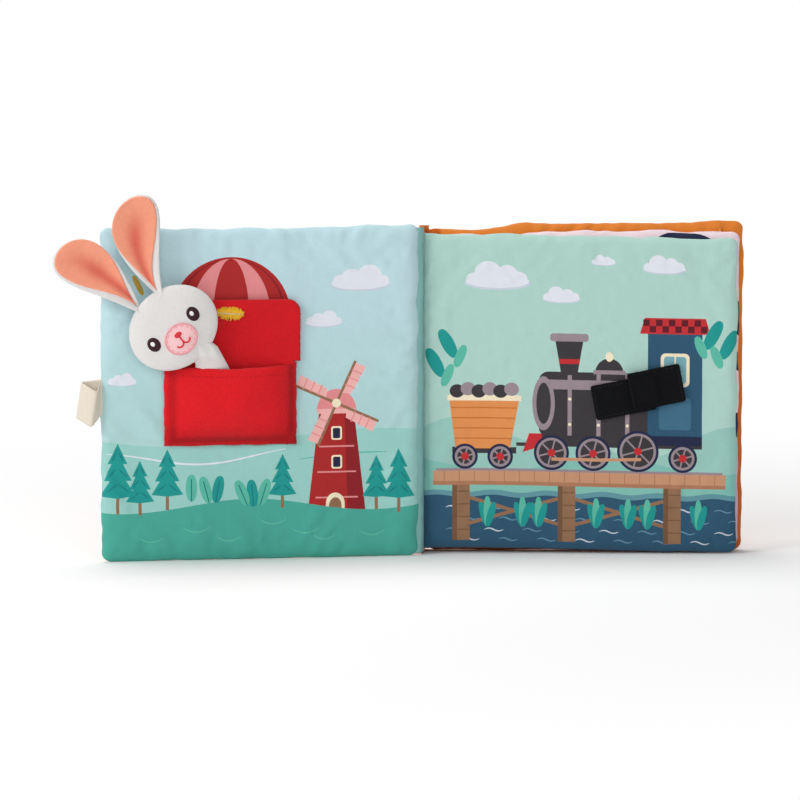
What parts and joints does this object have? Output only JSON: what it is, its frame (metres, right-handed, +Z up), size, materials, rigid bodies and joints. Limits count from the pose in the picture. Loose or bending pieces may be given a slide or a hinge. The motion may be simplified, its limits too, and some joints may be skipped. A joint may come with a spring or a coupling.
{
  "type": "cloth activity book",
  "caption": "Padded cloth activity book standing open, with a felt pocket and flap, a rabbit finger puppet, a ribbon loop and a hook-and-loop strap.",
  "frame": {"origin": "middle of the spine's foot, on the surface the book stands on", "axes": "+X along the page leaves to their fore edge, +Y away from the reader, +Z up"},
  "size_m": [0.427, 0.0825, 0.2288],
  "materials": {
    "spine_cloth": "woven, matt",
    "mint_cloth": "woven, matt",
    "orange_cloth": "woven, matt",
    "aqua_cloth": "woven, matt",
    "cream_tape": "woven, matt",
    "red_felt": "napped",
    "yellow_felt": "napped",
    "white_velour": "napped",
    "coral_velour": "napped",
    "dark_thread": "woven, matt",
    "rose_thread": "woven, matt",
    "blush_thread": "woven, matt",
    "black_hook_loop": "napped",
    "black_stitch_patch": "woven, matt",
    "ink_far_hills": "woven, matt",
    "ink_near_hills": "woven, matt",
    "ink_cloud": "woven, matt",
    "ink_tree": "woven, matt",
    "ink_trunk": "woven, matt",
    "ink_brick": "woven, matt",
    "ink_rose": "woven, matt",
    "ink_lake": "woven, matt",
    "ink_tan": "woven, matt",
    "ink_brown": "woven, matt",
    "ink_charcoal": "woven, matt",
    "ink_navy": "woven, matt",
    "ink_mauve": "woven, matt",
    "ink_red": "woven, matt",
    "ink_orange": "woven, matt",
    "ink_smoke": "woven, matt",
    "ink_reed": "woven, matt",
    "pink_cloth": "woven, matt"
  },
  "bodies": {
    "book_block": {"spine": "spine_cloth", "pages": "mint_cloth", "strap_band": "black_hook_loop", "strap_tab": "black_hook_loop", "tab_patch": "black_stitch_patch", "print_lake": "ink_lake", "print_deck": "ink_tan", "print_posts": "ink_brown", "print_engine": "ink_charcoal", "print_cab": "ink_navy", "print_wheels": "ink_mauve", "print_roof_band": "ink_red", "print_wagon": "ink_orange", "print_smoke": "ink_smoke", "print_reeds": "ink_reed", "print_pink_page": "pink_cloth"},
    "front_cover": {"front_cover_outer_panel": "orange_cloth", "front_cover_inner_panel": "aqua_cloth", "ribbon_loop": "cream_tape", "pocket": "red_felt", "pocket_flap": "red_felt", "flap_patch": "yellow_felt", "puppet_body": "white_velour", "puppet_head": "white_velour", "left_ear": "white_velour", "right_ear": "white_velour", "left_ear_lining": "coral_velour", "right_ear_lining": "coral_velour", "left_eye": "dark_thread", "right_eye": "dark_thread", "nose": "rose_thread", "muzzle": "blush_thread", "print_far_hills": "ink_far_hills", "print_near_hills": "ink_near_hills", "print_clouds": "ink_cloud", "print_trees": "ink_tree", "print_trunks": "ink_trunk", "print_balloon": "ink_brick", "print_balloon_stripes": "ink_rose", "print_mill": "ink_brick", "print_sails": "ink_rose"},
    "back_cover": {"back_cover_outer_panel": "orange_cloth", "back_cover_inner_panel": "orange_cloth"}
  },
  "joints": [
    {"name": "front_cover_hinge", "type": "hinge", "parent": "book_block", "child": "front_cover", "pos_m": [-0.0016, -0.013, 0.104], "axis": [0, 0, 1], "range_deg": [-40, 160]},
    {"name": "back_cover_hinge", "type": "hinge", "parent": "book_block", "child": "back_cover", "pos_m": [-0.0016, 0.013, 0.104], "axis": [0, 0, 1], "range_deg": [0, 125]}
  ]
}
